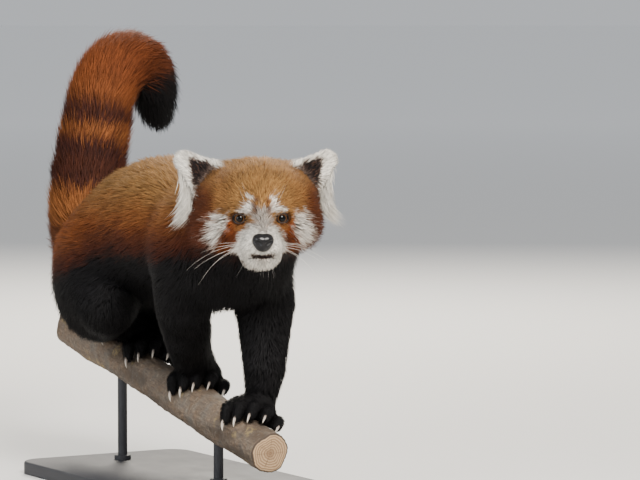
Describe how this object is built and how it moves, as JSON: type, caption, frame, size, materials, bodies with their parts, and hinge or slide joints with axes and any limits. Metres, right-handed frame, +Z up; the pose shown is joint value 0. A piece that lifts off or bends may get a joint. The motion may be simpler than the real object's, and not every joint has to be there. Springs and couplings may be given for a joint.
{
  "type": "red panda model",
  "caption": "Life-size still model of a red panda walking down a short cut branch, ringed bushy tail raised and curled over, head turned to its right, on a display stand.",
  "frame": {"origin": "middle of the underside of the stand's base", "axes": "+Z up; the animal faces -Y, with its own left towards +X; +Y runs back towards the tail"},
  "size_m": [0.272, 0.6488, 0.5582],
  "materials": {
    "russet_coat": "long soft fur",
    "black_coat": "long soft fur",
    "pale_coat": "soft fur",
    "tail_coat": "long soft fur in rings",
    "eye": "wet gloss",
    "nose_pad": "moist pebbled skin",
    "claw": "horn",
    "perch_wood": "rough bark",
    "stand_metal": "satin"
  },
  "bodies": {
    "root": {"claw_forefoot_left_1": "claw", "claw_forefoot_left_2": "claw", "claw_forefoot_left_3": "claw", "claw_forefoot_left_4": "claw", "claw_forefoot_left_5": "claw", "claw_forefoot_right_1": "claw", "claw_forefoot_right_2": "claw", "claw_forefoot_right_3": "claw", "claw_forefoot_right_4": "claw", "claw_forefoot_right_5": "claw", "claw_hindfoot_left_1": "claw", "claw_hindfoot_left_2": "claw", "claw_hindfoot_left_3": "claw", "claw_hindfoot_left_4": "claw", "claw_hindfoot_left_5": "claw", "claw_hindfoot_right_1": "claw", "claw_hindfoot_right_2": "claw", "claw_hindfoot_right_3": "claw", "claw_hindfoot_right_4": "claw", "claw_hindfoot_right_5": "claw", "ear_left": "pale_coat", "ear_right": "pale_coat", "eye_left": "eye", "eye_right": "eye", "forefoot_left": "black_coat", "forefoot_right": "black_coat", "foreleg_left": "black_coat", "foreleg_right": "black_coat", "head": "russet_coat", "hindfoot_left": "black_coat", "hindfoot_right": "black_coat", "hindleg_left": "black_coat", "hindleg_right": "black_coat", "neck": "russet_coat", "nose": "nose_pad", "perch": "perch_wood", "stand_base": "stand_metal", "stand_rod_front": "stand_metal", "stand_rod_rear": "stand_metal", "tail_curl": "tail_coat", "tail_root": "tail_coat", "tail_tip": "tail_coat", "tail_upper": "tail_coat", "torso_front": "russet_coat", "torso_rear": "russet_coat"}
  },
  "joints": []
}
